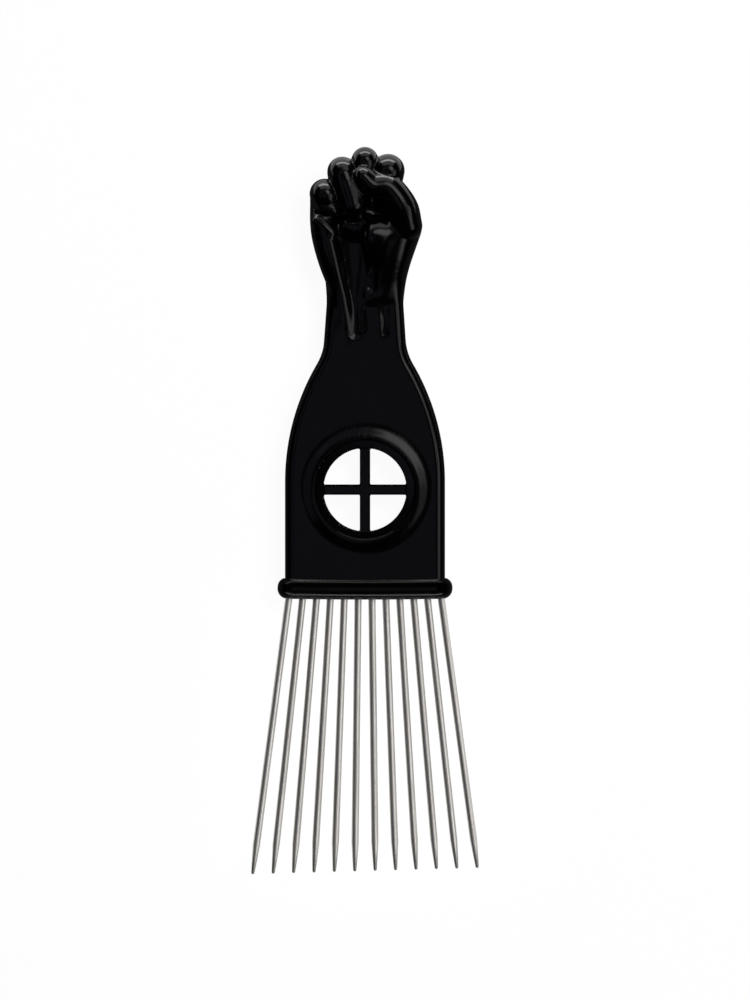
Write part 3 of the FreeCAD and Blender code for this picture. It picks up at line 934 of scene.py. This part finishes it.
# Collar. A second black gloss moulding, a round-edged band that caps the foot of the handle.
# The foot is bonded into a pocket in it, and the tines pass through slanted bores in its underside.
COLLAR_HALF = (collar_high - collar_low) / 2
COLLAR_MIDDLE = (collar_high + collar_low) / 2
COLLAR_EDGE_RADIUS = 2.35
COLLAR_CORNER_RADIUS = 4.1
COLLAR_BOW = 0.25
POCKET_CLEARANCE = 0.05
COLLAR_ROUGHNESS = 0.19
COLLAR_RIPPLE = 330.0


def plan(points, half_width, half_thickness, corner):
    """Distance to a round-cornered rectangle, seen along the handle."""
    wide = np.abs(points[:, 0]) - half_width
    thick = np.abs(points[:, 2] - MID_PLANE) - half_thickness
    return rounded(wide, thick, corner)


def collar_field(points):
    bowed = points[:, 1] + COLLAR_BOW * (1 - (points[:, 0] / COLLAR_HALF[0]) ** 2)
    side = plan(points, COLLAR_HALF[0], COLLAR_HALF[2], COLLAR_CORNER_RADIUS)
    rim = np.abs(bowed - COLLAR_MIDDLE[1]) - COLLAR_HALF[1]
    band = rounded(side, rim, COLLAR_EDGE_RADIUS)
    pocket = plan(
        points,
        HALF_WIDTH + POCKET_CLEARANCE,
        PADDLE_HALF_THICKNESS + POCKET_CLEARANCE,
        PADDLE_EDGE_RADIUS + POCKET_CLEARANCE,
    )
    band = np.maximum(band, -np.maximum(pocket, FOOT - points[:, 1]))
    return socketed(points, band)


collar = skin("collar_band", collar_field, collar_low, collar_high, GRAIN)
collar_plastic = black_gloss("collar_gloss_plastic", COLLAR_ROUGHNESS, COLLAR_RIPPLE, MID_PLANE)
collar.data.materials.append(collar_plastic)
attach(collar, "root")
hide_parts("collar")

# Setting. White paper on a table and on stands round it, soft lamps and a camera straight above the pick.
# The paper is evenly white to the camera. The steel mirrors all but its left sheet, the handle only the far
# one and the collar none. Each lamp but the ceiling lights chosen pieces, as black gloss shows little else.
SHEET_HALF = 4.0
SWEEP_HEIGHT = 2.6
FAR_SHEET_GAP = 2.0
FAR_SHEET_START = (FIST_TOP + FAR_SHEET_GAP) * MM
PAPER_GREY = (0.5, 0.5, 0.5, 1)
PAPER_GLOW = 0.95


def sheet_of_paper(name, points, *faces):
    mesh = bpy.data.meshes.new(name)
    mesh.from_pydata(points, [], faces)
    sheet = bpy.data.objects.new(name, mesh)
    bpy.context.scene.collection.objects.link(sheet)
    return sheet


def sheet_corners(start, end):
    return [(-SHEET_HALF, start), (SHEET_HALF, start), (SHEET_HALF, end), (-SHEET_HALF, end)]


def flat_sheet(name, start, end):
    return sheet_of_paper(name, [(x, y, 0) for x, y in sheet_corners(start, end)], (0, 1, 2, 3))


near_sheet = flat_sheet("near_sheet", -SHEET_HALF, FAR_SHEET_START)
far_sheet = flat_sheet("far_sheet", FAR_SHEET_START, SHEET_HALF)
round_table = sheet_corners(-SHEET_HALF, SHEET_HALF)
standing_points = [(x, y, height) for height in (0, SWEEP_HEIGHT) for x, y in round_table]
standing_faces = [(side, (side + 1) % 4, (side + 1) % 4 + 4, side + 4) for side in range(4)]
standing_sheets = sheet_of_paper("standing_sheets", standing_points, *standing_faces[:3])
left_sheet = sheet_of_paper("left_sheet", standing_points, standing_faces[3])

paper = bpy.data.materials.new("white_paper")
paper.use_nodes = True
tree = paper.node_tree
tree.nodes.clear()
matt = place(tree, "ShaderNodeBsdfDiffuse", {"Color": PAPER_GREY})
glow = place(tree, "ShaderNodeEmission", {"Strength": PAPER_GLOW})
lit = place(tree, "ShaderNodeAddShader", {0: matt.outputs[0], 1: glow.outputs[0]})
ray = place(tree, "ShaderNodeLightPath").outputs
mirrored = sums(tree, "MAXIMUM", ray["Is Glossy Ray"], ray["Is Transmission Ray"])
seen = sums(tree, "MAXIMUM", ray["Is Camera Ray"], mirrored)
shown = place(tree, "ShaderNodeMixShader", {0: seen, 1: matt.outputs[0], 2: lit.outputs[0]})
place(tree, "ShaderNodeOutputMaterial", {"Surface": shown.outputs[0]})
paper.cycles.emission_sampling = "NONE"
for sheet in (near_sheet, far_sheet, standing_sheets, left_sheet):
    sheet.data.materials.append(paper)


def only_on(light, *pieces):
    """Keeps a light to the given pieces."""
    reached = bpy.data.collections.new("lit_by_" + light.name)
    for piece in pieces:
        reached.objects.link(piece)
    light.light_linking.receiver_collection = reached


only_on(near_sheet, tines)
only_on(standing_sheets, tines)
only_on(left_sheet, near_sheet)
only_on(far_sheet, tines, handle)

ROOM_GREY = (0.006, 0.006, 0.0066, 1)
world = bpy.data.worlds.new("studio")
bpy.context.scene.world = world
world.use_nodes = True
world.node_tree.nodes["Background"].inputs["Color"].default_value = ROOM_GREY


def lamp(name, azimuth, elevation, distance, size, radiance, tint=(1, 1, 1)):
    """A soft lamp turned to the pick, as bright to look at as its radiance says."""
    data = bpy.data.lights.new(name, "AREA")
    data.shape = "RECTANGLE"
    data.size, data.size_y = size
    data.energy = radiance * math.pi * size[0] * size[1]
    data.color = tint
    turn, tilt = math.radians(azimuth), math.radians(elevation)
    toward = Vector((math.cos(turn) * math.cos(tilt), math.sin(turn) * math.cos(tilt), math.sin(tilt)))
    stand = bpy.data.objects.new(name, data)
    stand.location = toward * distance
    stand.rotation_euler = (-toward).to_track_quat("-Z", "Y").to_euler()
    bpy.context.scene.collection.objects.link(stand)
    return stand


# Each lamp's azimuth and elevation in degrees, its distance and size in metres, its radiance and its tint.
CEILING_TINT = (1, 0.88, 1.2)
HANDLE_LAMPS = {
    "far_strip": (90, 6, 0.7, (0.9, 0.15), 6),
    "far_softbox": (90, 24, 0.75, (0.9, 0.45), 0.85),
    "side_strip": (-10, 42, 0.8, (0.5, 0.25), 0.8),
    "back_glow": (105, 56, 0.8, (0.6, 0.3), 0.095, CEILING_TINT),
    "left_glow": (171, 56, 0.8, (0.6, 0.3), 0.08, CEILING_TINT),
}
KEY_LAMPS = {
    "key_narrow": (50, 57, 0.8, (0.36, 0.3), 0.9),
    "key_middle": (41, 57, 0.8, (0.52, 0.3), 0.35),
    "key_wide": (16, 57, 0.8, (1.0, 0.3), 0.25),
}
COLLAR_LAMPS = {
    "collar_far_strip": (100, 16, 0.7, (1.3, 0.1), 1.6),
    "collar_near_strip": (-95, 24, 0.7, (1.3, 0.1), 3.6),
}
STEEL_LAMPS = {
    "steel_softbox": (0, 38, 0.8, (0.9, 0.3), 0.8),
    "steel_strip": (0, 56, 0.8, (0.9, 0.14), 3.0),
    "steel_top": (0, 84, 0.8, (0.9, 0.45), 0.48),
    "steel_left": (180, 40, 0.8, (0.9, 0.7), 0.15),
}
for lamps, pieces in (
    (HANDLE_LAMPS, [handle]),
    (KEY_LAMPS, [handle, near_sheet, far_sheet]),
    (COLLAR_LAMPS, [collar]),
    (STEEL_LAMPS, [tines]),
):
    for name, values in lamps.items():
        only_on(lamp(name, *values), *pieces)
lamp("ceiling", 225, 83, 2.4, (0.95, 0.95), 0.098, CEILING_TINT)

IMAGE_HEIGHT = 1000
PIXEL = 0.2407 * MM
PIXELS_RIGHT_OF_PICK = 10
PIXELS_ABOVE_COLLAR = 98.5
CAMERA_DISTANCE = 2.0
camera_data = bpy.data.cameras.new("photo_camera")
camera = bpy.data.objects.new("photo_camera", camera_data)
bpy.context.scene.collection.objects.link(camera)
camera_data.lens = camera_data.sensor_width * CAMERA_DISTANCE / (IMAGE_HEIGHT * PIXEL)
camera.location = (
    PIXELS_RIGHT_OF_PICK * PIXEL,
    collar_low[1] * MM + PIXELS_ABOVE_COLLAR * PIXEL,
    CAMERA_DISTANCE + MID_PLANE * MM,
)
bpy.context.scene.camera = camera
bpy.context.scene.view_settings.view_transform = "Standard"
